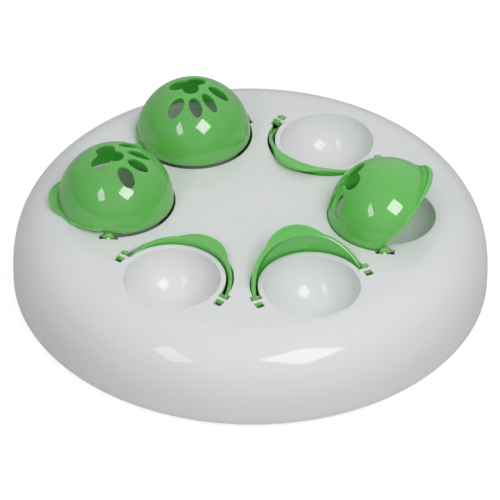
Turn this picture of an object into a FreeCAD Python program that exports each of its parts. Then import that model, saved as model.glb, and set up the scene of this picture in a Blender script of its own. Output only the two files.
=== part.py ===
import FreeCAD, Part
import os
from math import sin, cos, pi, radians, degrees, sqrt, atan, exp, hypot

V = FreeCAD.Vector
os.makedirs("parts", exist_ok=True)

# Pet puzzle board: a round white board with six treat bowls in a ring. Each
# bowl has a green hemispherical dome that flips inwards on two snap-on clips,
# passes through a C-shaped slot and nests under its own bowl.
# Frame: origin at the centre of the floor circle, +Z up, bowl 5 on +X.

# ------------------------------------------------------------ driving sizes
BOARD_R = 160.0        # widest ring
DECK_Z = 58.0          # flat top above the floor
DECK_FLAT_R = 124.3    # where the flat top starts to fall away
EDGE_DROP = 52.8       # from the flat top down to the widest ring
EDGE_PR, EDGE_PZ = 1.80, 3.10   # superellipse powers of the large rounded edge
WALL = 2.5             # skin of the deck and of the pan

RING_R = 91.5          # bowl centres
BOWL_RI = 31.7         # bowl inside
BOWL_RO = 34.2         # bowl outside
MOUTH_RO = 35.3        # outer edge of the flat band round the bowl's mouth
MOUTH_T = 2.0          # thickness of that band, flush with the deck
MOUTH_G = 0.75         # rounding of the mouth's inner edge
SLOT_RO = 40.2         # outer edge of the C slot, a circle of its own
SLOT_CX = -0.35        # whose centre lies this far inwards of the bowl's
HOLE_X = 6.3           # hinge hole, half its size across the axis
HOLE_Y0 = 37.0         # hinge hole, inner wall on the outer side of the axis
HOLE_Y1 = 42.3         # hinge hole, far wall

AXIS_Z = -0.3          # hinge axis below the deck
BAR_R = 1.30           # moulded hinge bar
BAR_END = 43.4         # the bar runs on into the deck, with a round end
CLIP_RI = 1.38         # bore of the snap-on clip, 0.08 mm running clearance
CLIP_RO = 3.7
CLIP_Y0, CLIP_Y1 = 37.4, 41.8
CLIP_MOUTH = 45.0      # half angle of the clip's mouth, degrees

DOME_R = 38.85         # outside of the dome
DOME_T = 2.1           # its wall
DOME_CX, DOME_CZ = -0.8, 1.1    # sphere centre from the hinge axis
RIM_Z, RIM_SLOPE = 1.05, 0.012  # rim plane above the axis, lower at the lip
RELIEF_Z = 2.5         # the rim is cut back to here beside the clips
RELIEF_X0, RELIEF_X1 = -9.0, 2.0    # over this much across the axis
LIP_CX, LIP_CY, LIP_R = 20.3, 1.0, 24.2    # crescent lip: a disc across the rim
LIP_T = 2.2

# paw: the pad's rounds (x, y, radius), then the toes (x, y, half axes, turn)
PAD = [(-1.35, 2.35, 5.4), (8.4, 7.4, 6.3), (6.5, -5.3, 6.4), (5.6, 1.1, 4.9)]
TOES = [(-9.8, 17.4, 7.1, 4.9, -52.0), (-16.5, 6.1, 7.0, 4.2, -5.0),
        (-16.1, -4.6, 7.4, 3.7, 9.0), (-8.7, -14.7, 7.4, 4.6, 35.0)]

OPEN_MAX = 171.0       # a fully open dome, nested under its bowl
# bowl: its place round the ring, and how far its dome is open at rest
BOWLS = {
    1: (120.0, 0.0),
    2: (180.0, 0.0),
    3: (240.0, OPEN_MAX),
    4: (300.0, 149.5),
    5: (0.0, 48.5),
    6: (60.0, OPEN_MAX),
}

PAN_Z0 = 1.0           # pan underside; the feet stand 1 mm proud of it
PAN_EDGE_Z = DECK_Z - EDGE_DROP          # joint line between shell and pan
PAN_FLAT_R = 140.0     # where the pan's underside starts to curl up
POST_PCD_R = 126.0     # screw posts, between the bowls
POST_R = 4.0
PILOT_R = 1.5
SCREW_R = 1.45
HEAD_R, HEAD_H = 3.3, 1.9
FOOT_PCD_R = 124.0
FOOT_R, FOOT_T = 8.0, 2.4
DRAIN_R = 2.5
DRAIN_PCD_R = 78.0


# ------------------------------------------------------------ small helpers
def spline(points, t0=None, t1=None):
    b = Part.BSplineCurve()
    if t0 is None:
        b.interpolate(Points=points)
    else:
        b.interpolate(Points=points, InitialTangent=t0, FinalTangent=t1)
    return b.toShape()


def closed_spline(points):
    b = Part.BSplineCurve()
    b.interpolate(Points=points, PeriodicFlag=True)
    return b.toShape()


def line(a, b):
    return Part.LineSegment(a, b).toShape()


def arc(a, m, b):
    return Part.Arc(a, m, b).toShape()


def rz(r, z):
    return V(r, 0, z)


def revolve(edges):
    face = Part.Face(Part.Wire(edges))
    return face.revolve(V(0, 0, 0), V(0, 0, 1), 360)


def cyl(r, h, x=0.0, y=0.0, z=0.0, d=(0, 0, 1)):
    return Part.makeCylinder(r, h, V(x, y, z), V(*d))


def box(x0, x1, y0, y1, z0, z1):
    return Part.makeBox(x1 - x0, y1 - y0, z1 - z0, V(x0, y0, z0))


def turned(shape, deg, x=0.0, z=0.0):
    """Copy of a shape made at a bowl's own origin, put in its place."""
    s = shape.copy()
    s.translate(V(x, 0, z))
    s.rotate(V(0, 0, 0), V(0, 0, 1), deg)
    return s


def write(name, shape):
    shape = shape.removeSplitter() if len(shape.Solids) == 1 else shape
    assert shape.isValid(), name
    print("%-16s solids %d volume %.0f mm3 faces %d" % (
        name, len(shape.Solids), shape.Volume, len(shape.Faces)))
    shape.exportStep("parts/%s.step" % name)


# ------------------------------------------------------------ deck shell
def edge_point(t):
    """Outer edge of the board, t from 0 at the deck to 1 at the widest ring."""
    a = (1.0 - t) * pi / 2
    c = max(cos(a), 0.0) ** (2.0 / EDGE_PR)
    s = max(sin(a), 0.0) ** (2.0 / EDGE_PZ)
    return (DECK_FLAT_R + (BOARD_R - DECK_FLAT_R) * c,
            DECK_Z - EDGE_DROP + EDGE_DROP * s)


def edge_offset(t, d):
    """The same point moved inwards by d, square to the surface."""
    if t <= 0:
        return DECK_FLAT_R, DECK_Z - d
    if t >= 1:
        return BOARD_R - d, DECK_Z - EDGE_DROP
    e = 1e-4
    r0, z0 = edge_point(t - e)
    r1, z1 = edge_point(min(t + e, 1.0))
    dr, dz = r1 - r0, z1 - z0
    n = hypot(dr, dz)
    r, z = edge_point(t)
    return r + dz / n * d, z - dr / n * d


STEPS = [0.0, 0.06, 0.13, 0.2, 0.28, 0.36, 0.44, 0.52, 0.6, 0.68, 0.75, 0.82,
         0.88, 0.93, 0.965, 0.988, 1.0]
outer = [rz(*edge_point(t)) for t in STEPS]
inner = [rz(*edge_offset(t, WALL)) for t in STEPS]
down, out = V(0, 0, -1), V(1, 0, 0)
deck = revolve([
    line(rz(0, DECK_Z), outer[0]),
    spline(outer, out, down),
    line(outer[-1], inner[-1]),
    spline(inner, out, down),
    line(inner[0], rz(0, DECK_Z - WALL)),
    line(rz(0, DECK_Z - WALL), rz(0, DECK_Z)),
])

# what is cut through the deck at one bowl, in that bowl's own frame
ring = cyl(SLOT_RO, 8, SLOT_CX, 0, -6).cut(cyl(MOUTH_RO, 8, z=-6))
slot = ring.common(box(-60, 0, -60, 60, -8, 4))
slot = slot.cut(box(-HOLE_X, 0, -60, 60, -8, 4))
cuts = [slot, cyl(MOUTH_RO, 8, z=-6)]
for s in (1, -1):
    y0, y1 = sorted((s * HOLE_Y0, s * HOLE_Y1))
    cuts.append(box(0, HOLE_X, y0, y1, -6, 2))
    y0, y1 = sorted((s * 33.0, s * HOLE_Y1))
    cuts.append(box(-HOLE_X, 0, y0, y1, -6, 2))
    bar = cyl(BAR_R, BAR_END - BAR_R - 33.5, 0, s * 33.5, AXIS_Z, (0, s, 0))
    cuts.append(bar.fuse(Part.makeSphere(
        BAR_R, V(0, s * (BAR_END - BAR_R), AXIS_Z))))
cutter = cuts[0].fuse(cuts[1:])
for k, (a, _) in BOWLS.items():
    deck = deck.cut(turned(cutter, a, RING_R, DECK_Z))

# posts for the base screws, between the bowls
for i in range(6):
    post = cyl(POST_R, DECK_Z - 2.0 - 6.0, POST_PCD_R, 0, 6.0)
    deck = deck.fuse(turned(post, 30 + 60 * i))
for i in range(6):
    deck = deck.cut(turned(cyl(PILOT_R, 16, POST_PCD_R, 0, 5.0), 30 + 60 * i))
write("deck_shell", deck)

# ------------------------------------------------------------ treat bowls
zi = -MOUTH_T
ro_at = sqrt(BOWL_RO ** 2 - zi ** 2)
g = MOUTH_G
p = g * (1 - sqrt(0.5))
ri_at = sqrt(BOWL_RI ** 2 - g ** 2)
si = sqrt(0.5) * BOWL_RI
ang = (atan(-zi / ro_at) + pi / 2) / 2
bowl = revolve([
    arc(rz(0, -BOWL_RI), rz(si, -si), rz(ri_at, -g)),
    arc(rz(ri_at, -g), rz(ri_at + p, -p), rz(ri_at + g, 0)),
    line(rz(ri_at + g, 0), rz(MOUTH_RO, 0)),
    line(rz(MOUTH_RO, 0), rz(MOUTH_RO, zi)),
    line(rz(MOUTH_RO, zi), rz(ro_at, zi)),
    arc(rz(ro_at, zi), rz(BOWL_RO * cos(ang), -BOWL_RO * sin(ang)),
        rz(0, -BOWL_RO)),
    line(rz(0, -BOWL_RO), rz(0, -BOWL_RI)),
])
for s in (1, -1):
    bar = cyl(BAR_R, BAR_END - BAR_R - 33.5, 0, s * 33.5, AXIS_Z, (0, s, 0))
    bar = bar.fuse(Part.makeSphere(BAR_R, V(0, s * (BAR_END - BAR_R), AXIS_Z)))
    bowl = bowl.fuse(bar)
for k, (a, _) in BOWLS.items():
    write("bowl_%d" % k, turned(bowl, a, RING_R, DECK_Z))


# ------------------------------------------------------------ flip domes
def pad_outline():
    """Paw pad: one smooth line round four overlapping rounds."""
    cx, cy = 4.6, 1.1
    pts = []
    n = 44
    for i in range(n):
        a = 2 * pi * i / n
        lo, hi = 0.0, 20.0
        for _ in range(40):
            m = (lo + hi) / 2
            x, y = cx + m * cos(a), cy + m * sin(a)
            s = sum(exp(-3.2 * (((x - u) ** 2 + (y - v) ** 2) / r ** 2 - 1))
                    for u, v, r in PAD)
            if s > 1:
                lo = m
            else:
                hi = m
        pts.append(V(cx + lo * cos(a), cy + lo * sin(a), 0))
    return pts


def half_space_below_rim():
    b = box(-120, 120, -120, 120, -120, 0)
    b.rotate(V(0, 0, 0), V(0, 1, 0), degrees(atan(RIM_SLOPE)))
    b.translate(V(0, 0, RIM_Z))
    return b


centre = V(DOME_CX, 0, DOME_CZ)
ball = Part.makeSphere(DOME_R, centre)
core = Part.makeSphere(DOME_R - DOME_T, centre)
dome = ball.cut(core).cut(half_space_below_rim())

# the lip: a thin disc with a rolled edge that crosses the rim on the outside
disc = cyl(LIP_R, LIP_T, LIP_CX, LIP_CY, 0)
rims = [e for e in disc.Edges if e.Closed and e.Curve.TypeId == "Part::GeomCircle"]
disc = disc.makeFillet(0.95, rims)
disc.rotate(V(0, 0, 0), V(0, 1, 0), degrees(atan(RIM_SLOPE)))
disc.translate(V(0, 0, RIM_Z))
lip = disc.cut(core).cut(box(-60, 18, -60, 60, -20, 20))
dome = dome.fuse(lip).removeSplitter()

# a small fillet where the lip leaves the dome
try:
    joint = []
    for e in dome.Edges:
        ps = [e.valueAt(e.FirstParameter + (e.LastParameter - e.FirstParameter) * q_)
              for q_ in (0.1, 0.5, 0.9)]
        if all(abs((c - centre).Length - DOME_R) < 0.02 and c.x > 25 and
               c.z > RIM_Z - RIM_SLOPE * c.x + LIP_T - 0.05 for c in ps):
            joint.append(e)
    rounded = dome.makeFillet(1.4, joint)
    if rounded.isValid() and len(rounded.Solids) == 1:
        dome = rounded
        print("lip fillet made on", len(joint), "edges")
except Exception as err:
    print("lip fillet left out:", err)

# relief beside and inside the clips, so that the rim clears the deck when open
for s in (1, -1):
    y0, y1 = sorted((s * 30.0, s * CLIP_Y0))
    dome = dome.cut(box(RELIEF_X0, RELIEF_X1, y0, y1, -10, RELIEF_Z))
    y0, y1 = sorted((s * 30.0, s * 46.0))
    dome = dome.cut(box(RELIEF_X0, -CLIP_RO, y0, y1, -10, RELIEF_Z))
    clip = cyl(CLIP_RO, CLIP_Y1 - CLIP_Y0, 0, s * CLIP_Y0, 0, (0, s, 0))
    dome = dome.fuse(clip)
    bore = cyl(CLIP_RI, 12, 0, s * 34.0, 0, (0, s, 0))
    w = 8.0
    t = w * sin(radians(CLIP_MOUTH)) / cos(radians(CLIP_MOUTH))
    wedge = Part.Face(Part.makePolygon(
        [V(0, s * 34.0, 0), V(-t, s * 34.0, -w), V(t, s * 34.0, -w),
         V(0, s * 34.0, 0)])).extrude(V(0, s * 12.0, 0))
    dome = dome.cut(bore).cut(wedge)

pad = Part.Face(Part.Wire([closed_spline(pad_outline())]))
tools = [pad]
for (x, y, ra, rb, turn) in TOES:
    u, w = cos(radians(turn)), sin(radians(turn))
    el = Part.Ellipse(V(x + u * ra, y + w * ra, 0),
                      V(x - w * rb, y + u * rb, 0), V(x, y, 0))
    tools.append(Part.Face(Part.Wire([el.toShape()])))
for face in tools:
    face.translate(V(0, 0, 15))
    dome = dome.cut(face.extrude(V(0, 0, 40)))

for k, (a, opened) in BOWLS.items():
    d = dome.copy()
    # positive opening lifts the lip and swings it towards the board's centre
    d.rotate(V(0, 0, 0), V(0, -1, 0), opened)
    d.translate(V(0, 0, AXIS_Z))
    write("flip_dome_%d" % k, turned(d, a, RING_R, DECK_Z))

# ------------------------------------------------------------ base pan
curl = []
for i in range(9):
    b = pi / 2 * i / 8
    curl.append(rz(PAN_FLAT_R + (BOARD_R - PAN_FLAT_R) * sin(b),
                   PAN_EDGE_Z - (PAN_EDGE_Z - PAN_Z0) * cos(b)))
LAP_RO = BOARD_R - WALL - 0.2
LAP_RI = LAP_RO - 1.4
inner_z = PAN_Z0 + WALL
pan = revolve([
    line(rz(0, PAN_Z0), curl[0]),
    spline(curl, V(1, 0, 0), V(0, 0, 1)),
    line(curl[-1], rz(LAP_RO, PAN_EDGE_Z)),
    line(rz(LAP_RO, PAN_EDGE_Z), rz(LAP_RO, PAN_EDGE_Z + 3.2)),
    line(rz(LAP_RO, PAN_EDGE_Z + 3.2), rz(LAP_RI, PAN_EDGE_Z + 3.2)),
    line(rz(LAP_RI, PAN_EDGE_Z + 3.2), rz(LAP_RI, PAN_EDGE_Z + 0.9)),
    line(rz(LAP_RI, PAN_EDGE_Z + 0.9), rz(146.0, inner_z + 0.6)),
    line(rz(146.0, inner_z + 0.6), rz(138.0, inner_z)),
    line(rz(138.0, inner_z), rz(0, inner_z)),
    line(rz(0, inner_z), rz(0, PAN_Z0)),
])
for i in range(6):
    a = 60 * i
    pan = pan.fuse([
        turned(cyl(6.0, 6.0 - inner_z, POST_PCD_R, 0, inner_z), a + 30),
        turned(cyl(10.5, 1.5, FOOT_PCD_R, 0, inner_z), a),
        turned(box(24, 112, -0.8, 0.8, inner_z, inner_z + 3.5), a),
    ])
pan = pan.fuse(cyl(56.0, 3.5, z=inner_z).cut(cyl(54.4, 3.5, z=inner_z)))
for i in range(6):
    a = 60 * i
    pan = pan.cut([
        turned(cyl(1.8, 8, POST_PCD_R, 0, 0.5), a + 30),
        turned(cyl(HEAD_R + 0.6, 2.4, POST_PCD_R, 0, PAN_Z0), a + 30),
        turned(cyl(FOOT_R + 0.2, FOOT_T - PAN_Z0, FOOT_PCD_R, 0, PAN_Z0), a),
        turned(cyl(DRAIN_R, 8, DRAIN_PCD_R, 0, 0), a + 30),
    ])
write("base_pan", pan)

# ------------------------------------------------------------ base screws
head_z = PAN_Z0 + 2.4
head = cyl(HEAD_R, HEAD_H, z=head_z - HEAD_H)
low = [e for e in head.Edges if e.Closed and abs(e.CenterOfMass.z - (head_z - HEAD_H)) < 1e-6]
head = head.makeFillet(0.8, low)
for b in (0, 90):
    s = box(-2.0, 2.0, -0.35, 0.35, head_z - HEAD_H - 1, head_z - HEAD_H + 1.1)
    s.rotate(V(0, 0, 0), V(0, 0, 1), b)
    head = head.cut(s)
shank = cyl(SCREW_R, 12.0, z=head_z)
tip = Part.makeCone(SCREW_R, 0.3, 2.0, V(0, 0, head_z + 12.0))
screw = head.fuse([shank, tip]).removeSplitter()
write("base_screws", Part.makeCompound(
    [turned(screw, 30 + 60 * i, POST_PCD_R) for i in range(6)]))

# ------------------------------------------------------------ rubber feet
foot = cyl(FOOT_R, FOOT_T)
low = [e for e in foot.Edges if e.Closed and e.CenterOfMass.z < 1e-6]
foot = foot.makeFillet(0.6, low)
foot = foot.cut(cyl(5.2, 0.3).cut(cyl(4.4, 0.3)))
for i in range(6):
    write("foot_%d" % (i + 1), turned(foot, 60 * i, FOOT_PCD_R))
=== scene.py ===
import bpy, bmesh
import numpy as np
from math import sin, cos, pi, radians, degrees, sqrt, atan2, asin, acos, hypot
from mathutils import Matrix, Vector
from mathutils.geometry import delaunay_2d_cdt


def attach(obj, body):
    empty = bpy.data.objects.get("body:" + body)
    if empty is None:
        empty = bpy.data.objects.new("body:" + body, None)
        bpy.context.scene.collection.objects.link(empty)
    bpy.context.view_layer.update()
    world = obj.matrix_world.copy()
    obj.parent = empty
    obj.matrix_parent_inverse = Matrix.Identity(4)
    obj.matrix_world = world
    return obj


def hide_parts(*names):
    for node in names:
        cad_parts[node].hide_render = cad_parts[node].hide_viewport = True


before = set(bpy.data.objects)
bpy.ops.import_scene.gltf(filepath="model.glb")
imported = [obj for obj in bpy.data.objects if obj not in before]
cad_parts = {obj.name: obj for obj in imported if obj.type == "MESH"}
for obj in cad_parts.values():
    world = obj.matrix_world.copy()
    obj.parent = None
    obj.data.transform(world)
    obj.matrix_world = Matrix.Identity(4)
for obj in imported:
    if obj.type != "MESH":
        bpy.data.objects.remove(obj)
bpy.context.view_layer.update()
MM = 0.001

# ---------------------------------------------------------------- sizes (mm)
BOARD_R, DECK_Z, FLAT_R, DROP, WALL = 160.0, 58.0, 124.3, 52.8, 2.5
PR, PZ = 1.80, 3.10
EDGE_Z = DECK_Z - DROP
RING_R, BOWL_RI, BOWL_RO, BEAD_RO = 91.5, 31.7, 34.2, 35.3
SLOT_R, SLOT_CX = 40.2, -0.35
HX, HY0, HY1 = 6.3, 37.0, 42.3
AXIS_Z, BAR_R, BAR_END = -0.3, 1.3, 43.4
CX, CZ, RO, RI = -0.8, 1.1, 38.85, 36.75
RIM_Z, SLOPE, RELIEF = 1.05, 0.012, 2.5
OUT_Z, OUT_SLOPE = 4.3, 0.12    # the rim on the lip's side falls from the clips
FLANGE, FLARE = 0.95, 0.7       # and carries a narrow flange, opened out inside
LIP_CX, LIP_CY, LIP_R = 20.3, 1.0, 24.2
CLIP_RI, CLIP_RO, CLIP_Y0, CLIP_Y1 = 1.38, 3.7, 37.4, 41.8
PAD = [(-1.35, 2.35, 5.4), (8.4, 7.4, 6.3), (6.5, -5.3, 6.4), (5.6, 1.1, 4.9)]
TOES = [(-9.8, 17.4, 7.1, 4.9, -52.0), (-16.5, 6.1, 7.0, 4.2, -5.0),
        (-16.1, -4.6, 7.4, 3.7, 9.0), (-8.7, -14.7, 7.4, 4.6, 35.0)]
# bowl: angle round the ring, dome open by
BOWLS = {1: (120.0, 0.0), 2: (180.0, 0.0), 3: (240.0, 171.0),
         4: (300.0, 149.5), 5: (0.0, 48.5), 6: (60.0, 171.0)}


# ---------------------------------------------------------------- mesh tools
class Build:
    """Vertices in mm, faces, and exact normals where they are known."""

    def __init__(self):
        self.v, self.f, self.n = [], [], {}

    def put(self, pts):
        b = len(self.v)
        self.v.extend([tuple(map(float, p)) for p in pts])
        return list(range(b, b + len(pts)))

    def strip(self, a, b, close=True):
        n = len(a)
        for i in range(n if close else n - 1):
            j = (i + 1) % n
            self.f.append((a[i], a[j], b[j], b[i]))

    def rows(self, rows, close=True):
        idx = [self.put(r) for r in rows]
        for a, b in zip(idx, idx[1:]):
            self.strip(a, b, close)
        return idx

    def fan(self, ring, tip, flip=False):
        t = self.put([tip])[0]
        n = len(ring)
        for i in range(n):
            a, b = ring[i], ring[(i + 1) % n]
            self.f.append((b, a, t) if flip else (a, b, t))

    def lathe(self, profile, n, x=0.0, y=0.0, phase=0.0):
        """Closed of revolution; a profile point with r = 0 becomes a tip."""
        rings = []
        for r, z in profile:
            if r < 1e-6:
                rings.append(("tip", (x, y, z)))
            else:
                rings.append(("ring", self.put(
                    [(x + r * cos(phase + 2 * pi * i / n),
                      y + r * sin(phase + 2 * pi * i / n), z) for i in range(n)])))
        for (ka, a), (kb, b) in zip(rings, rings[1:]):
            if ka == "ring" and kb == "ring":
                self.strip(a, b)
            elif ka == "ring":
                self.fan(a, b)
            elif kb == "ring":
                self.fan(b, a, True)
        return rings

    def obj(self, name, smooth=38.0, merge=0.004, recalc=True):
        bm = bmesh.new()
        lay = bm.verts.layers.int.new("src")
        vs = [bm.verts.new((p[0] * MM, p[1] * MM, p[2] * MM)) for p in self.v]
        for f in self.f:
            g = []
            for i in f:
                if not g or (vs[i] is not g[-1] and vs[i] is not g[0]):
                    g.append(vs[i])
            if len(g) >= 3:
                try:
                    bm.faces.new(g)
                except ValueError:
                    pass
        for i, v in enumerate(vs):
            v[lay] = i
        bmesh.ops.remove_doubles(bm, verts=bm.verts, dist=merge * MM)
        bmesh.ops.dissolve_degenerate(bm, edges=bm.edges, dist=1e-7)
        loose = [v for v in bm.verts if not v.link_faces]
        bmesh.ops.delete(bm, geom=loose, context="VERTS")
        if recalc:
            bmesh.ops.recalc_face_normals(bm, faces=bm.faces)
        bm.verts.index_update()
        src = [v[lay] for v in bm.verts]
        bm.verts.layers.int.remove(lay)
        me = bpy.data.meshes.new(name)
        bm.to_mesh(me)
        bm.free()
        me.polygons.foreach_set("use_smooth", [True] * len(me.polygons))
        me.set_sharp_from_angle(angle=radians(smooth))
        if self.n:
            # known normals, on the corners that lie on the smooth side
            auto = np.empty(len(me.loops) * 3, np.float32)
            me.corner_normals.foreach_get("vector", auto)
            auto = auto.reshape(-1, 3)
            vi = np.empty(len(me.loops), np.int32)
            me.loops.foreach_get("vertex_index", vi)
            known = np.zeros((len(src), 3))
            has = np.zeros(len(src), bool)
            for i, q in enumerate(src):
                if q in self.n:
                    known[i] = self.n[q]
                    has[i] = True
            e = known[vi]
            d = (e * auto).sum(1)
            use = has[vi] & (np.abs(d) > cos(radians(42.0)))
            out = np.where(use[:, None], e * np.sign(d)[:, None], auto)
            me.normals_split_custom_set(out.tolist())
        o = bpy.data.objects.new(name, me)
        bpy.context.scene.collection.objects.link(o)
        return o


def offset(poly, d):
    """A closed anticlockwise 2-D polyline moved outwards by d (a number or one
    for each point)."""
    p = np.asarray(poly, float)
    d = np.broadcast_to(np.asarray(d, float), (len(p),))
    e = np.roll(p, -1, 0) - p
    e /= np.linalg.norm(e, axis=1)[:, None]
    n = np.stack([e[:, 1], -e[:, 0]], 1)
    m = n + np.roll(n, 1, 0)
    m /= np.linalg.norm(m, axis=1)[:, None]
    c = np.clip((m * n).sum(1), 0.6, 1.0)
    return p + m * (d / c)[:, None]


def inside(poly, pts):
    """Which of the points lie inside the polygon."""
    p = np.asarray(poly, float)
    q = np.roll(p, -1, 0)
    x, y = pts[:, 0][:, None], pts[:, 1][:, None]
    c = ((p[:, 1] > y) != (q[:, 1] > y))
    with np.errstate(divide="ignore", invalid="ignore"):
        t = (q[:, 0] - p[:, 0]) * (y - p[:, 1]) / (q[:, 1] - p[:, 1]) + p[:, 0]
    return (c & (x < t)).sum(1) % 2 == 1


def plate(outer, holes, extra=None):
    """Triangles of a flat region: points and faces. The first points are the
    outer loop and then the holes' loops, in the order given."""
    loops = [np.asarray(outer, float)] + [np.asarray(h, float) for h in holes]
    pts = np.concatenate(loops + ([np.asarray(extra, float)] if extra is not None else []))
    edges, b = [], 0
    for lp in loops:
        n = len(lp)
        edges += [(b + i, b + (i + 1) % n) for i in range(n)]
        b += n
    v, _, f, ov, _, _ = delaunay_2d_cdt([Vector(p) for p in pts], edges, [], 0, 1e-6)
    back = [o[0] for o in ov]
    tri = np.array([[back[i] for i in t] for t in f])
    cen = pts[tri].mean(1)
    keep = inside(loops[0], cen)
    for h in loops[1:]:
        keep &= ~inside(h, cen)
    return pts, tri[keep]


def rot2(p, deg):
    a = radians(deg)
    p = np.asarray(p, float)
    return np.stack([p[..., 0] * cos(a) - p[..., 1] * sin(a),
                     p[..., 0] * sin(a) + p[..., 1] * cos(a)], -1)


def circle(r, n, x=0.0, y=0.0):
    return [(x + r * cos(2 * pi * i / n), y + r * sin(2 * pi * i / n)) for i in range(n)]


def rounded(corners, r, n=5):
    """Closed polyline with its corners rounded. A corner is (x, y, radius) or
    a list of points that is kept as it is."""
    out = []
    m = len(corners)

    def end(c, first):
        return np.array(c[0 if first else -1], float) if isinstance(c, list) else np.array(c[:2], float)

    for i, c in enumerate(corners):
        if isinstance(c, list):
            out += [tuple(p) for p in c]
            continue
        p = np.array(c[:2], float)
        a = end(corners[i - 1], False)
        b = end(corners[(i + 1) % m], True)
        rr = c[2] if len(c) > 2 else r
        u, w = (a - p), (b - p)
        lu, lw = np.linalg.norm(u), np.linalg.norm(w)
        u, w = u / lu, w / lw
        ang = acos(float(np.clip(u @ w, -1, 1)))
        t = min(rr / np.tan(ang / 2), 0.45 * lu, 0.45 * lw)
        rr = t * np.tan(ang / 2)
        cc = p + (u + w) / np.linalg.norm(u + w) * (rr / sin(ang / 2))
        s0, s1 = p + u * t - cc, p + w * t - cc
        a0 = atan2(s0[1], s0[0])
        da = (atan2(s1[1], s1[0]) - a0 + pi) % (2 * pi) - pi
        for k in range(n + 1):
            q = a0 + da * k / n
            out.append((cc[0] + rr * cos(q), cc[1] + rr * sin(q)))
    return out


# ---------------------------------------------------------------- deck shell
def edge_curve(t):
    a = (1.0 - t) * pi / 2
    c = max(cos(a), 0.0) ** (2.0 / PR)
    s = max(sin(a), 0.0) ** (2.0 / PZ)
    return FLAT_R + (BOARD_R - FLAT_R) * c, EDGE_Z + DROP * s


def edge_in(t, d):
    if t <= 0:
        return FLAT_R, DECK_Z - d
    if t >= 1:
        return BOARD_R - d, EDGE_Z
    e = 1e-4
    r0, z0 = edge_curve(t - e)
    r1, z1 = edge_curve(min(t + e, 1.0))
    n = hypot(r1 - r0, z1 - z0)
    r, z = edge_curve(t)
    return r + (z1 - z0) / n * d, z - (r1 - r0) / n * d


def opening():
    """Outline of one bowl's hole, slot and hinge holes, anticlockwise, and how
    far its top edge is rounded at each point."""
    sy = sqrt(SLOT_R ** 2 - (-HX - SLOT_CX) ** 2)
    a1 = atan2(sy, -HX - SLOT_CX)
    bead = [(BEAD_RO * cos(radians(a)), BEAD_RO * sin(radians(a)))
            for a in np.arange(-89.0, 89.01, 1.0)]
    arc = [(SLOT_CX + SLOT_R * cos(a), SLOT_R * sin(a))
           for a in np.linspace(a1 + 0.035, 2 * pi - a1 - 0.035, 180)]
    pts = rounded([
        bead, (0.0, BEAD_RO, 0.05), (0.0, HY0, 0.7), (HX, HY0), (HX, HY1), (-HX, HY1),
        (-HX, sy, 1.0), arc, (-HX, -sy, 1.0), (-HX, -HY1), (HX, -HY1), (HX, -HY0),
        (0.0, -HY0, 0.7), (0.0, -BEAD_RO, 0.05)], 0.5)
    fil = []
    for x, y in pts:
        if x > 0.02 and hypot(x, y) < BEAD_RO + 0.02:
            fil.append(0.0)
        elif abs(x) < 0.06 and abs(y) < BEAD_RO + 0.4:
            fil.append(0.03)
        else:
            fil.append(0.3)
    return np.array(pts), np.array(fil)


def top_z(r):
    c = np.clip((np.asarray(r, float) - FLAT_R) / (BOARD_R - FLAT_R), 0, 1)
    ca = c ** (PR / 2)
    return EDGE_Z + DROP * np.sqrt(1 - ca ** 2) ** (2.0 / PZ)


def top_n(x, y):
    r = hypot(x, y)
    k = float(top_z(r + 0.05) - top_z(r - 0.05)) / 0.1
    q = 1 / sqrt(1 + k * k)
    return (-k * q * x / max(r, 1e-6), -k * q * y / max(r, 1e-6), q)


UNDER = np.array([edge_in(t, WALL) for t in np.linspace(0.0, 0.6, 400)])


def low_z(r):
    return np.interp(r, UNDER[:, 0], UNDER[:, 1])


def drop_rows(b, poly, fil, place, top, low, steps=5):
    """Rounded top edge and wall of an opening, as rows from the flat down."""
    p = np.asarray(poly, float)
    o = offset(p, 1.0) - p
    o /= np.linalg.norm(o, axis=1)[:, None]
    ow = place(p + o) - place(p)
    rows, ids = [], []
    for k in range(steps + 2):
        t = pi / 2 * min(k, steps) / steps
        q = place(offset(p, fil * (1 - sin(t))) if k <= steps else p)
        r = np.hypot(q[:, 0], q[:, 1])
        z = low(r) if k > steps else top(r) - fil * (1 - cos(t))
        i = b.put(np.column_stack([q, z]))
        for j, m, f in zip(i, ow, fil):
            if f > 0.1:
                b.n[j] = (-m[0] * sin(t), -m[1] * sin(t), cos(t))
            elif k > 0:
                b.n[j] = (-m[0], -m[1], 0.0)
        rows.append(i)
    return rows


poly0, fil0 = opening()
CURVE_R = 134.0


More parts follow.
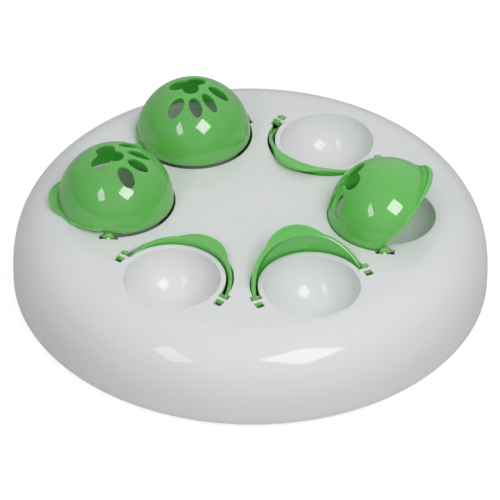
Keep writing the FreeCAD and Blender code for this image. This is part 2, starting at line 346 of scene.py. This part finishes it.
def make_deck():
    b = Build()
    n = 360
    holes_top, holes_low = [], []
    for k, (a, _) in BOWLS.items():
        place = lambda q, a=a: rot2(np.asarray(q) + np.array([RING_R, 0.0]), a)
        holes_top.append(place(offset(poly0, fil0)))
        holes_low.append(place(poly0))
        rows = drop_rows(b, poly0, fil0, place, top_z, low_z)
        for i, j in zip(rows, rows[1:]):
            b.strip(i, j)
    keep_off = [offset(h, 0.35) for h in holes_top]
    for top, holes, zf, sgn in ((True, holes_top, top_z, 1), (False, holes_low, low_z, -1)):
        rc = CURVE_R if top else UNDER[-1][0]
        extra = [circle(r, n) for r in np.arange(FLAT_R - 1.0, rc - 0.5, 0.8)]
        extra = np.array([p for ring in extra for p in ring])
        for h in keep_off:
            extra = extra[~inside(h, extra)]
        pts, tri = plate(circle(rc, n), holes, extra)
        i = b.put(np.column_stack([pts, zf(np.hypot(pts[:, 0], pts[:, 1]))]))
        if top:
            for j, (x, y) in zip(i, pts):
                b.n[j] = top_n(x, y)
        b.f += [tuple(i[j] for j in t[::sgn]) for t in tri]
    g = 0.35
    prof = [(CURVE_R, float(top_z(CURVE_R)))]
    for t in np.linspace(0.12, 1.0, 90):
        r, z = edge_curve(t)
        if r > CURVE_R + 0.4 and z > EDGE_Z + g + 0.05:
            prof.append((r, z))
    prof += [(BOARD_R - g * (1 - cos(q)), EDGE_Z + g * (1 - sin(q)))
             for q in np.linspace(0, pi / 2, 4)]
    prof += [edge_in(t, WALL) for t in np.linspace(1, 0.6, 30)]
    b.lathe(prof, n)
    for k in range(6):
        x, y = rot2((126.0, 0.0), 30 + 60 * k)
        b.lathe([(4.0, 55.2), (4.0, 6.3), (3.7, 6.0), (1.8, 6.0), (1.5, 6.3), (1.5, 20.0),
                 (0, 21.0)], 32, x, y)
        b.lathe([(0, 55.2), (4.0, 55.2)], 32, x, y)
    return b.obj("deck_shell_skin", merge=0.01)


# ---------------------------------------------------------------- treat bowl
def make_bowl():
    b = Build()
    n = 360
    g = 0.75                       # rounding of the mouth
    rows = []
    al = [radians(i) for i in range(n)]
    f = np.array([0.3 if cos(a) < -0.02 else 0.0 for a in al])

    def ring(rz_list):
        rows.append([(r * cos(a), r * sin(a), z) for (r, z), a in zip(rz_list, al)])

    for t in np.linspace(2.0, 88.0, 56):
        ring([(BOWL_RI * sin(radians(t)), -BOWL_RI * cos(radians(t)))] * n)
    for q in np.linspace(0, pi / 2, 7)[0:]:
        ring([(BOWL_RI + g * (1 - cos(q)), -g * (1 - sin(q)))] * n)
    for k in range(6):
        t = pi / 2 * k / 5
        ring([(BEAD_RO - e * (1 - sin(t)), -e * (1 - cos(t))) for e in f])
    ring([(BEAD_RO, -2.0)] * n)
    ro = sqrt(BOWL_RO ** 2 - 4.0)
    ring([(ro + 0.35, -2.0)] * n)
    a0 = degrees(asin(ro / BOWL_RO))
    for t in np.linspace(a0 - 0.6, 2.0, 44):
        ring([(BOWL_RO * sin(radians(t)), -BOWL_RO * cos(radians(t)))] * n)
    idx = b.rows(rows)
    b.fan(idx[0], (0, 0, -BOWL_RI), True)
    b.fan(idx[-1], (0, 0, -BOWL_RO))
    for s in (1, -1):              # moulded hinge bars with round ends
        prof = []
        for q in np.linspace(0, pi / 2, 8):
            prof.append((BAR_R * sin(q), BAR_END - BAR_R + BAR_R * cos(q)))
        prof += [(BAR_R, y) for y in np.linspace(BAR_END - BAR_R - 0.5, 34.4, 12)]
        prof.append((0.0, 34.4))
        m = 40
        base = len(b.v)
        b.lathe(prof, m)
        for j in range(base, len(b.v)):
            x, y, z = b.v[j]
            b.v[j] = (x, s * z, AXIS_Z + y)
    return b.obj("bowl_mesh")


# ---------------------------------------------------------------- flip dome
def pad_outline(n=120):
    cx, cy = 4.6, 1.1
    pts = []
    for i in range(n):
        a = 2 * pi * i / n
        lo, hi = 0.0, 20.0
        for _ in range(40):
            m = (lo + hi) / 2
            x, y = cx + m * cos(a), cy + m * sin(a)
            s = sum(np.exp(-3.2 * (((x - u) ** 2 + (y - v) ** 2) / r ** 2 - 1))
                    for u, v, r in PAD)
            if s > 1:
                lo = m
            else:
                hi = m
        pts.append((cx + lo * cos(a), cy + lo * sin(a)))
    return np.array(pts)


def toe_outline(x, y, ra, rb, turn, n=56):
    u = np.array([cos(radians(turn)), sin(radians(turn))])
    w = np.array([-u[1], u[0]])
    t = np.linspace(0, 2 * pi, n, endpoint=False)
    return np.outer(np.cos(t) * ra, u) + np.outer(np.sin(t) * rb, w) + np.array([x, y])


def plane(x):
    z = RIM_Z - SLOPE * x
    if x > 1.0:
        u = OUT_Z - OUT_SLOPE * x
        z = 0.5 * (z + u + sqrt((z - u) ** 2 + 0.02))
    return z


def smoothstep(t):
    t = min(max(t, 0.0), 1.0)
    return t * t * (3 - 2 * t)


def lip_width(a):
    d = hypot(LIP_CX - CX, LIP_CY)
    a -= atan2(LIP_CY, LIP_CX - CX)
    q = LIP_R ** 2 - (d * sin(a)) ** 2
    if q <= 0 or cos(a) < 0:
        return 0.0
    return max(d * cos(a) + sqrt(q) - RO, 0.0)


def section(a):
    """Dome's rim at one azimuth: (rho, z) points from high on the outside, down
    round the rim or the lip, to high on the inside."""
    ca = cos(a)
    lamA = radians(14.0)
    e0, e1 = 0.5, 0.4
    pz = lambda rho: plane(CX + rho * ca)
    x_rim = CX + RO * ca
    base = pz(RO)
    zr = base + (RELIEF - base) * smoothstep(min(x_rim + 9.5, 2.4 - x_rim) / 0.9)
    so = lambda z: sqrt(max(RO ** 2 - (z - CZ) ** 2, 0.0))
    si = lambda z: sqrt(max(RI ** 2 - (z - CZ) ** 2, 0.0))
    zA = CZ + RO * sin(lamA)
    out = []
    top = max(base, RELIEF) + 4.6
    run = smoothstep((x_rim - 3.0) / 3.0)
    lam_top = asin((top - CZ) / RO)
    for k in range(9):
        lam = lamA + (lam_top - lamA) * k / 9
        out.append((RO * cos(lam), CZ + RO * sin(lam)))
    w = max(lip_width(a), FLANGE * run)
    opened = FLARE * run * smoothstep((7.0 - w) / 4.0)
    if w > 0.12:
        tj = 1.7
        te = tj + 1.35 * min(1.0, w / 6.15)
        rf = min(1.5, 0.42 * w)
        rt = min(1.05, 0.42 * w, 0.5 * te)
        rb = min(0.8, 0.42 * w)
        zs = lambda rho, h: pz(rho) + h
        r_s = so(base + tj + rf)
        z_f = pz(r_s + rf) + tj
        z_s = z_f + rf
        # sphere from top down to the fillet
        for k in range(4):
            z = top + (z_s - top) * k / 4
            out.append((so(z), z))
        for k in range(8):
            q = pi / 2 * k / 7
            r0 = so(z_s)
            out.append((r0 + rf * (1 - cos(q)), z_s - rf * sin(q)))
        ra, rb_ = r0 + rf, RO + w - rt
        for k in range(1, 8):
            u = k / 8
            rho = ra + (rb_ - ra) * u
            out.append((rho, pz(rho) + tj + (te - tj) * u ** 2.0))
        for k in range(6):
            q = pi / 2 * k / 5
            rho = rb_ + rt * sin(q)
            out.append((rho, pz(rho) + te - rt * (1 - cos(q))))
        for k in range(5):
            q = pi / 2 * k / 4
            rho = RO + w - rb * (1 - cos(q))
            out.append((rho, pz(rho) + rb * (1 - sin(q))))
        for k in range(1, 3):
            rho = RO + w - rb + (RO - e0 - (RO + w - rb)) * k / 2
            out.append((rho, pz(rho)))
    else:
        n = 4 + 8 + 7 + 6
        zb = zr + e0
        for k in range(n):
            z = top + (zb - top) * k / n
            out.append((so(z), z))
        r0 = so(zb)
        for k in range(7):
            q = pi / 2 * k / 6
            out.append((r0 - e0 * (1 - cos(q)), zb - e0 * sin(q)))
    # inner rounding and up the inside
    zi = zr + e1
    r1 = si(zi)
    if w > 0.12:
        zi = pz(RI) + e1
        r1 = si(zi)
    r1 += opened
    for k in range(5):
        q = pi / 2 * k / 4
        out.append((r1 + e1 * (1 - sin(q)), zi - e1 * cos(q)))
    zB = CZ + RI * sin(lamA)
    l0 = asin((zi - CZ) / RI)
    for k in range(1, 13):
        lam = l0 + (lamA - l0) * k / 12
        z = CZ + RI * sin(lam)
        out.append((RI * cos(lam) + opened * smoothstep(1 - (z - zi) / 2.0), z))
    return out


def cap(b, R, holes, ring_pts, al, inward=False):
    """Spherical cap with cut-outs, meshed in the azimuthal plane."""
    th = radians(76.0)
    c = np.array([CX, 0.0])

    def to_flat(p):
        d = np.asarray(p, float) - c
        rho = np.linalg.norm(d, axis=-1)
        t = np.arcsin(np.clip(rho / R, 0, 1))
        return d / np.maximum(rho, 1e-9)[..., None] * (t * R)[..., None]

    outer = [(th * R * cos(a), th * R * sin(a)) for a in al]
    loops = [to_flat(h) for h in holes]
    extra = []
    step = 1.7
    nr = int(th * R / step)
    for k in range(1, nr):
        r = th * R * k / nr
        m = max(6, int(2 * pi * sin(r / R) * R / step))
        for j in range(m):
            q = 2 * pi * (j + 0.5 * (k % 2)) / m
            extra.append((r * cos(q), r * sin(q)))
    extra.append((0.0, 0.0))
    extra = np.array(extra)
    keep = np.ones(len(extra), bool)
    for lp in loops:
        keep &= ~inside(offset(lp, 0.75), extra)
    pts, tri = plate(outer, loops, extra[keep])
    r = np.linalg.norm(pts, axis=1)
    t = r / R
    d = pts / np.maximum(r, 1e-9)[:, None]
    P = np.stack([CX + R * np.sin(t) * d[:, 0], R * np.sin(t) * d[:, 1],
                  CZ + R * np.cos(t)], 1)
    # the outer loop is the rim strip's own row
    i = b.put(P)
    i[:len(al)] = ring_pts
    for k, j in enumerate(i):
        nrm = (np.array(b.v[j]) - np.array([CX, 0, CZ])) / R
        b.n[j] = tuple(-nrm if inward else nrm)
    b.f += [tuple(i[j] for j in q) for q in tri]


def make_dome():
    b = Build()
    al = set(np.round(np.arange(0, 360, 1.0), 3))
    for lo, hi, st in ((74, 106, 0.25), (254, 286, 0.25), (30, 40, 0.5), (324, 334, 0.5)):
        al |= set(np.round(np.arange(lo, hi + 0.01, st), 3))
    al = [radians(a) for a in sorted(x for x in al if x < 360)]
    secs = [section(a) for a in al]
    m = len(secs[0])
    assert all(len(s) == m for s in secs), sorted({len(s) for s in secs})
    rows = [[(CX + s[k][0] * cos(a), s[k][0] * sin(a), s[k][1])
             for s, a in zip(secs, al)] for k in range(m)]
    idx = b.rows(rows)
    for row in idx[:9]:
        for j in row:
            b.n[j] = tuple((np.array(b.v[j]) - np.array([CX, 0, CZ])) / RO)
    for row in idx[-11:]:
        for j in row:
            b.n[j] = tuple(-(np.array(b.v[j]) - np.array([CX, 0, CZ])) / RI)
    cuts = [pad_outline()] + [toe_outline(*t) for t in TOES]
    e, ei = 0.4, 0.25
    up = lambda p, R: CZ + np.sqrt(R ** 2 - ((p[:, 0] - CX) ** 2 + p[:, 1] ** 2))
    tops = [offset(c, e) for c in cuts]
    lows = [offset(c, ei) for c in cuts]
    cap(b, RO, tops, idx[0], al)
    cap(b, RI, lows, idx[-1], al, True)
    for c in cuts:
        rr = []
        for k in range(5):
            t = pi / 2 * k / 4
            q = offset(c, e * (1 - sin(t)))
            rr.append(np.column_stack([q, up(q, RO) - e * (1 - cos(t))]))
        for k in range(4):
            t = pi / 2 * (1 - k / 3)
            q = offset(c, ei * (1 - sin(t)))
            rr.append(np.column_stack([q, up(q, RI) + ei * (1 - cos(t))]))
        b.rows([list(map(tuple, r)) for r in rr])
    # snap-on clips: a C section swept round the axis, mouth down
    for s in (1, -1):
        sec = rounded([(CLIP_RI, CLIP_Y0, 0.15), (CLIP_RO, CLIP_Y0, 0.5),
                       (CLIP_RO, CLIP_Y1, 0.5), (CLIP_RI, CLIP_Y1, 0.15)], 0.3, 4)
        cen = np.mean(sec, 0)
        rows = []
        lo, hi = -45.0, 225.0
        qs = [(lo, 0.80), (lo + 1.2, 0.92), (lo + 4.0, 1.0)]
        qs += [(x, 1.0) for x in np.linspace(lo + 8, hi - 8, 54)]
        qs += [(hi - 4.0, 1.0), (hi - 1.2, 0.92), (hi, 0.80)]
        for q, k in qs:
            a = radians(q)
            row = []
            for (r, y) in sec:
                r2, y2 = cen[0] + (r - cen[0]) * k, cen[1] + (y - cen[1]) * k
                row.append((r2 * cos(a), s * y2, r2 * sin(a)))
            rows.append(row)
        ids = b.rows(rows)
        for row, q in ((ids[0], qs[0][0]), (ids[-1], qs[-1][0])):
            a = radians(q)
            b.fan(row, (cen[0] * cos(a), s * cen[1], cen[0] * sin(a)))
    return b.obj("dome_mesh", merge=0.002)


# ---------------------------------------------------------------- base pan
def make_pan():
    b = Build()
    n = 360
    z0, rf = 1.0, 140.0
    feet, wells, drains = [], [], []
    for k in range(6):
        feet.append(rot2(circle(8.2, 72, 124.0), 60 * k))
        wells.append(rot2(circle(3.9, 48, 126.0), 30 + 60 * k))
        drains.append(rot2(circle(2.5, 40, 78.0), 30 + 60 * k))
    e = 0.35
    outer = circle(rf, n)
    allh = feet + wells + drains
    pts, tri = plate(outer, [offset(h, e) for h in allh])
    i = b.put([(x, y, z0) for x, y in pts])
    b.f += [tuple(i[j] for j in t[::-1]) for t in tri]
    for h, depth in [(h, 1.4) for h in feet] + [(h, 2.4) for h in wells] + \
                    [(h, 2.5) for h in drains]:
        rows = []
        for k in range(5):
            t = pi / 2 * k / 4
            q = offset(h, e * (1 - sin(t)))
            rows.append([(x, y, z0 + e * (1 - cos(t))) for x, y in q])
        rows.append([(x, y, z0 + depth) for x, y in h])
        ids = b.rows(rows)
        if depth < 2.45:
            b.fan(ids[-1], (*np.mean(h, 0), z0 + depth))
    # inside floor, with the drains through it
    r_in = 154.0
    pts, tri = plate(circle(r_in, n), drains)
    i = b.put([(x, y, z0 + 2.5) for x, y in pts])
    b.f += [tuple(i[j] for j in t) for t in tri]
    prof = []
    for k in range(25):
        q = pi / 2 * k / 24
        r, z = rf + (BOARD_R - rf) * sin(q), EDGE_Z - (EDGE_Z - z0) * cos(q)
        if z < EDGE_Z - 0.42:
            prof.append((r, z))
    g = 0.35
    prof += [(BOARD_R - g * (1 - cos(q)), EDGE_Z - g * (1 - sin(q)))
             for q in np.linspace(0, pi / 2, 4)]
    prof += [(157.3, EDGE_Z), (157.3, 8.2), (157.1, 8.4), (156.1, 8.4), (155.9, 8.2),
             (155.9, 6.1), (154.0, 3.5)]
    b.lathe(prof, n)
    return b.obj("base_pan_skin", merge=0.01)


def make_foot():
    b = Build()
    prof = [(0, 0.25)] + [(r, z) for r, z in ((3.9, 0.25), (4.2, 0.2), (4.4, 0.0))]
    prof = [(0.0, 0.0), (4.1, 0.0), (4.35, 0.06), (4.5, 0.25), (4.7, 0.35), (4.9, 0.35),
            (5.1, 0.25), (5.25, 0.06), (5.5, 0.0), (7.35, 0.0)]
    prof += [(7.4 + 0.6 * sin(q), 0.6 - 0.6 * cos(q)) for q in np.linspace(0.1, pi / 2, 6)]
    prof += [(8.0, 2.2), (7.9, 2.38), (7.6, 2.4), (0.0, 2.4)]
    b.lathe(prof, 72)
    return b.obj("foot_mesh")


# ---------------------------------------------------------------- materials
def mat(name):
    m = bpy.data.materials.new(name)
    m.use_nodes = True
    t = m.node_tree
    t.nodes.clear()
    out = t.nodes.new("ShaderNodeOutputMaterial")
    p = t.nodes.new("ShaderNodeBsdfPrincipled")
    t.links.new(p.outputs[0], out.inputs[0])
    return m, t, p


def node(t, kind, **kw):
    n = t.nodes.new(kind)
    for k, v in kw.items():
        if k.startswith("in_"):
            n.inputs[k[3:].replace("_", " ")].default_value = v
        else:
            setattr(n, k, v)
    return n


def noise(t, co, scale, detail=4.0, rough=0.55, seed=0.0):
    mp = node(t, "ShaderNodeMapping")
    mp.inputs["Location"].default_value = (seed, seed * 0.37, seed * 0.71)
    t.links.new(co, mp.inputs["Vector"])
    n = node(t, "ShaderNodeTexNoise")
    n.inputs["Scale"].default_value = scale
    n.inputs["Detail"].default_value = detail
    n.inputs["Roughness"].default_value = rough
    t.links.new(mp.outputs[0], n.inputs["Vector"])
    return n.outputs["Fac"]


def remap(t, val, lo, hi, a, b):
    n = node(t, "ShaderNodeMapRange")
    for k, v in zip(("From Min", "From Max", "To Min", "To Max"), (lo, hi, a, b)):
        n.inputs[k].default_value = v
    t.links.new(val, n.inputs["Value"])
    return n.outputs[0]


def blend(t, fac, c0, c1):
    n = node(t, "ShaderNodeMix", data_type="RGBA")
    if isinstance(c0, tuple):
        n.inputs[6].default_value = (*c0, 1)
    else:
        t.links.new(c0, n.inputs[6])
    n.inputs[7].default_value = (*c1, 1)
    t.links.new(fac, n.inputs[0])
    return n.outputs[2]


def bump(t, height, strength, dist, after=None):
    n = node(t, "ShaderNodeBump")
    n.inputs["Strength"].default_value = strength
    n.inputs["Distance"].default_value = dist
    t.links.new(height, n.inputs["Height"])
    if after is not None:
        t.links.new(after, n.inputs["Normal"])
    return n.outputs[0]


def scratches(t, co, scale, seed, rotz):
    """Fine handling scratches: thin bands of a stretched noise."""
    mp = node(t, "ShaderNodeMapping")
    mp.inputs["Location"].default_value = (seed, seed, 0)
    mp.inputs["Rotation"].default_value = (0.1, 0.2, rotz)
    mp.inputs["Scale"].default_value = (1.0, 26.0, 1.0)
    t.links.new(co, mp.inputs["Vector"])
    n = node(t, "ShaderNodeTexNoise")
    n.inputs["Scale"].default_value = scale
    n.inputs["Detail"].default_value = 2.0
    t.links.new(mp.outputs[0], n.inputs["Vector"])
    return remap(t, n.outputs["Fac"], 0.70, 0.74, 0.0, 1.0)


def plastic(name, base, deep, edge_highlight_col, rough, spec=0.5, sss=0.0, sss_col=None, wave=0.0,
            thin=0.0, ior=1.5):
    m, t, p = mat(name)
    tc = node(t, "ShaderNodeTexCoord")
    oi = node(t, "ShaderNodeObjectInfo")
    co = tc.outputs["Object"]
    big = noise(t, co, 14.0, 3.0, 0.5, 1.3)
    mid = noise(t, co, 90.0, 4.0, 0.6, 4.1)
    fine = noise(t, co, 900.0, 3.0, 0.6, 7.7)
    col = blend(t, remap(t, big, 0.35, 0.65, 0.0, 1.0), base, deep)
    geo = node(t, "ShaderNodeNewGeometry")
    # painted highlight: convex edges (by pointiness) are lightened towards the edge colour, patchy by
    # noise
    edge = remap(t, geo.outputs["Pointiness"], 0.52, 0.62, 0.0, 0.55)
    edge_highlight = node(t, "ShaderNodeMath", operation="MULTIPLY")
    t.links.new(edge, edge_highlight.inputs[0])
    t.links.new(remap(t, mid, 0.35, 0.75, 0.0, 1.0), edge_highlight.inputs[1])
    col = blend(t, edge_highlight.outputs[0], col, edge_highlight_col)
    t.links.new(col, p.inputs["Base Color"])
    r1 = remap(t, mid, 0.3, 0.7, rough * 0.85, rough * 1.25)
    s1 = scratches(t, co, 60.0, 2.0, 0.6)
    s2 = scratches(t, co, 48.0, 5.0, 2.1)
    smax = node(t, "ShaderNodeMath", operation="MAXIMUM")
    t.links.new(s1, smax.inputs[0])
    t.links.new(s2, smax.inputs[1])
    ra = node(t, "ShaderNodeMath", operation="MULTIPLY_ADD")
    t.links.new(smax.outputs[0], ra.inputs[0])
    ra.inputs[1].default_value = 0.05
    t.links.new(r1, ra.inputs[2])
    t.links.new(ra.outputs[0], p.inputs["Roughness"])
    n1 = bump(t, fine, 0.035, 0.00004)
    n2 = bump(t, big, 0.25, 0.00012 + wave, n1)
    n3 = bump(t, smax.outputs[0], 0.02, 0.00002, n2)
    t.links.new(n3, p.inputs["Normal"])
    p.inputs["IOR"].default_value = ior
    p.inputs["Specular IOR Level"].default_value = spec
    if sss:
        p.inputs["Subsurface Weight"].default_value = sss
        p.inputs["Subsurface Radius"].default_value = sss_col or (1, 1, 1)
        p.inputs["Subsurface Scale"].default_value = 0.006
    if thin:
        # light that comes through the thin wall
        p.inputs["Specular Tint"].default_value = (1.0, 0.82, 1.0, 1.0)
        tr = node(t, "ShaderNodeBsdfTranslucent")
        tr.inputs["Color"].default_value = (0.30, 0.92, 0.24, 1.0)
        t.links.new(n3, tr.inputs["Normal"])
        mx = node(t, "ShaderNodeMixShader")
        mx.inputs[0].default_value = thin
        t.links.new(p.outputs[0], mx.inputs[1])
        t.links.new(tr.outputs[0], mx.inputs[2])
        end = next(n for n in t.nodes if n.type == "OUTPUT_MATERIAL")
        t.links.new(mx.outputs[0], end.inputs["Surface"])
    return m


# the third colour of each plastic is its painted highlight on convex edges
WHITE = plastic("white_moulded", (0.83, 0.835, 0.83), (0.81, 0.817, 0.82),
                (0.83, 0.83, 0.82), 0.035, spec=0.35)
GREEN = plastic("green_moulded", (0.235, 0.72, 0.165), (0.20, 0.67, 0.145),
                (0.32, 0.78, 0.27), 0.04, spec=1.0, sss=1.0, sss_col=(0.45, 1.0, 0.35),
                thin=0.2, ior=1.6)


def rubber():
    m, t, p = mat("foot_rubber")
    tc = node(t, "ShaderNodeTexCoord")
    co = tc.outputs["Object"]
    a = noise(t, co, 260.0, 5.0, 0.65, 2.0)
    f = noise(t, co, 2400.0, 3.0, 0.7, 9.0)
    col = blend(t, remap(t, a, 0.3, 0.7, 0.0, 1.0), (0.055, 0.055, 0.058), (0.09, 0.09, 0.092))
    dust = blend(t, remap(t, f, 0.6, 0.75, 0.0, 0.35), col, (0.22, 0.215, 0.21))
    t.links.new(dust, p.inputs["Base Color"])
    t.links.new(remap(t, a, 0.3, 0.7, 0.62, 0.82), p.inputs["Roughness"])
    t.links.new(bump(t, f, 0.25, 0.0001), p.inputs["Normal"])
    return m


def steel():
    m, t, p = mat("screw_steel")
    tc = node(t, "ShaderNodeTexCoord")
    co = tc.outputs["Object"]
    a = noise(t, co, 500.0, 5.0, 0.6, 3.0)
    f = noise(t, co, 3000.0, 3.0, 0.6, 8.0)
    col = blend(t, remap(t, a, 0.3, 0.7, 0.0, 1.0), (0.52, 0.53, 0.55), (0.40, 0.40, 0.42))
    t.links.new(col, p.inputs["Base Color"])
    p.inputs["Metallic"].default_value = 1.0
    t.links.new(remap(t, f, 0.3, 0.7, 0.24, 0.42), p.inputs["Roughness"])
    t.links.new(bump(t, f, 0.1, 0.00005), p.inputs["Normal"])
    return m


def floor_mat():
    m, t, p = mat("floor")
    tc = node(t, "ShaderNodeTexCoord")
    a = noise(t, tc.outputs["Object"], 3.0, 3.0, 0.5, 5.0)
    col = blend(t, remap(t, a, 0.3, 0.7, 0.0, 1.0), (0.34, 0.34, 0.34), (0.36, 0.36, 0.36))
    t.links.new(col, p.inputs["Base Color"])
    p.inputs["Roughness"].default_value = 0.9
    p.inputs["Specular IOR Level"].default_value = 0.1
    # overexposed in the picture; its own light on the board is FLOOR_E
    lp = node(t, "ShaderNodeLightPath")
    p.inputs["Emission Color"].default_value = (1, 1, 1, 1)
    t.links.new(remap(t, lp.outputs["Is Camera Ray"], 0.0, 1.0, FLOOR_E, 0.8),
                p.inputs["Emission Strength"])
    return m


# ---------------------------------------------------------------- placing
FLOOR_E = 0.225


def placed(name, src, m):
    me = src.data.copy()
    me.transform(m)
    o = bpy.data.objects.new(name, me)
    bpy.context.scene.collection.objects.link(o)
    return o


def dress(o, m):
    o.data.materials.clear()
    o.data.materials.append(m)


deck = make_deck()
dress(deck, WHITE)
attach(deck, "board")
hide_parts("deck_shell")

bowl_src = make_bowl()
dome_src = make_dome()
foot_src = make_foot()
pan = make_pan()
dress(bowl_src, WHITE)
dress(dome_src, GREEN)
dress(foot_src, rubber())
dress(pan, WHITE)
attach(pan, "board")
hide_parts("base_pan")

for k, (a, opened) in BOWLS.items():
    turn = Matrix.Rotation(radians(a), 4, "Z")
    o = placed("bowl_%d_cup" % k, bowl_src,
               turn @ Matrix.Translation((RING_R * MM, 0, DECK_Z * MM)))
    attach(o, "board")
    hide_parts("bowl_%d" % k)
    d = placed("dome_%d_skin" % k, dome_src, turn @ Matrix.Translation(
        (RING_R * MM, 0, (DECK_Z + AXIS_Z) * MM)) @ Matrix.Rotation(-radians(opened), 4, "Y"))
    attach(d, "dome_%d" % k)
    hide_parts("flip_dome_%d" % k)
    f = placed("foot_%d_pad" % k, foot_src, Matrix.Rotation(radians(60 * (k - 1)), 4, "Z") @
               Matrix.Translation((124.0 * MM, 0, 0)))
    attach(f, "board")
    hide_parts("foot_%d" % k)
for o in (bowl_src, dome_src, foot_src):
    bpy.data.objects.remove(o)

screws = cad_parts["base_screws"]
dress(screws, steel())

# ---------------------------------------------------------------- floor, light
me = bpy.data.meshes.new("floor")
me.from_pydata([(-6, -6, 0), (6, -6, 0), (6, 6, 0), (-6, 6, 0)], [], [(0, 1, 2, 3)])
floor = bpy.data.objects.new("floor", me)
bpy.context.scene.collection.objects.link(floor)
me.materials.append(floor_mat())

world = bpy.data.worlds.new("studio")
bpy.context.scene.world = world
world.use_nodes = True
# the studio's walls and ceiling: brightness by direction
WORLD = {"c": 0.088, "x": 0.05, "y": 0.19, "z": 0.66, "zz": -0.210, "yy": 0.404,
         "xz": -0.006, "yz": -0.208}


def studio_light(w):
    t = w.node_tree
    bg = t.nodes["Background"]
    bg.inputs[0].default_value = (0.97, 0.985, 1.0, 1)
    tc = node(t, "ShaderNodeTexCoord")
    xyz = node(t, "ShaderNodeSeparateXYZ")
    t.links.new(tc.outputs["Generated"], xyz.inputs[0])
    total = None
    for key in ("x", "y", "z", "zz", "yy", "xz", "yz"):
        out = xyz.outputs["xyz".index(key[0])]
        if len(key) == 2:
            pr = node(t, "ShaderNodeMath", operation="MULTIPLY")
            t.links.new(out, pr.inputs[0])
            t.links.new(xyz.outputs["xyz".index(key[1])], pr.inputs[1])
            out = pr.outputs[0]
        n = node(t, "ShaderNodeMath", operation="MULTIPLY_ADD")
        n.name = "w_" + key
        t.links.new(out, n.inputs[0])
        n.inputs[1].default_value = WORLD[key]
        if total is None:
            n.inputs[2].default_value = WORLD["c"]
        else:
            t.links.new(total, n.inputs[2])
        total = n.outputs[0]
    low = node(t, "ShaderNodeMath", operation="MAXIMUM")
    low.inputs[1].default_value = 0.05
    t.links.new(total, low.inputs[0])
    t.links.new(low.outputs[0], bg.inputs[1])


studio_light(world)


def softbox(name, az, el, dist, size, power, roll=0.0, swing=0.0, tip=0.0,
            aim=(0, 0, 0.05), col=(1, 1, 1)):
    li = bpy.data.lights.new(name, "AREA")
    li.shape = "RECTANGLE"
    li.size, li.size_y = size
    li.energy = power
    li.color = col
    o = bpy.data.objects.new(name, li)
    a, e = radians(az), radians(el)
    p = Vector((cos(a) * cos(e), sin(a) * cos(e), sin(e))) * dist + Vector((0, 0, 0.058))
    q = (Vector(aim) - p).to_track_quat("-Z", "Y")
    o.matrix_world = Matrix.Translation(p) @ q.to_matrix().to_4x4() @ \
        Matrix.Rotation(radians(tip), 4, "X") @ \
        Matrix.Rotation(radians(swing), 4, "Y") @ Matrix.Rotation(radians(roll), 4, "Z")
    bpy.context.scene.collection.objects.link(o)
    return o


TURN = degrees(0.0696992625)
softbox("key", -60.6 + TURN, 48.5, 1.40, (0.58, 0.58), 6.4, 31.0)
softbox("fill", -130.5 + TURN, 37.5, 1.9, (0.933, 0.687), 7.5, 75.6, 48.7, -55.1)

# ---------------------------------------------------------------- camera
PX = 500.0
D, EL, ROLL, S, U0, V0 = 28.60709, 0.659442922, 0.0102626117, 136.966267, 251.068, 207.298


def place_camera():
    f = S * D
    C = np.array([0, -D * cos(EL), D * sin(EL)])
    w = -C / np.linalg.norm(C)
    r = np.array([1.0, 0, 0])
    u = np.cross(r, w)
    r1, u1 = cos(ROLL) * r + sin(ROLL) * u, -sin(ROLL) * r + cos(ROLL) * u
    Bm = np.stack([r1, u1, w])
    a = np.array([(U0 - 250) / f, -(V0 - 250) / f, 1.0])
    a /= np.linalg.norm(a)
    z = np.array([0, 0, 1.0])
    v = np.cross(z, a)
    K = np.array([[0, -v[2], v[1]], [v[2], 0, -v[0]], [-v[1], v[0], 0]])
    M = (np.eye(3) + K + K @ K / (1 + z @ a)) @ Bm
    t = radians(TURN)
    R = np.array([[cos(t), -sin(t), 0], [sin(t), cos(t), 0], [0, 0, 1]])
    X, Y, Z = R @ M[0], R @ M[1], R @ M[2]
    P = R @ C * RING_R * MM + np.array([0, 0, DECK_Z * MM])
    cd = bpy.data.cameras.new("camera")
    cam = bpy.data.objects.new("camera", cd)
    cam.matrix_world = Matrix(((X[0], Y[0], -Z[0], P[0]), (X[1], Y[1], -Z[1], P[1]),
                               (X[2], Y[2], -Z[2], P[2]), (0, 0, 0, 1)))
    cd.sensor_width = 36.0
    cd.lens = f * 36.0 / PX
    cd.clip_start, cd.clip_end = 0.05, 60.0
    bpy.context.scene.collection.objects.link(cam)
    bpy.context.scene.camera = cam


place_camera()
vs = bpy.context.scene.view_settings
vs.view_transform = "Standard"
vs.look = "None"
vs.exposure = 0.0
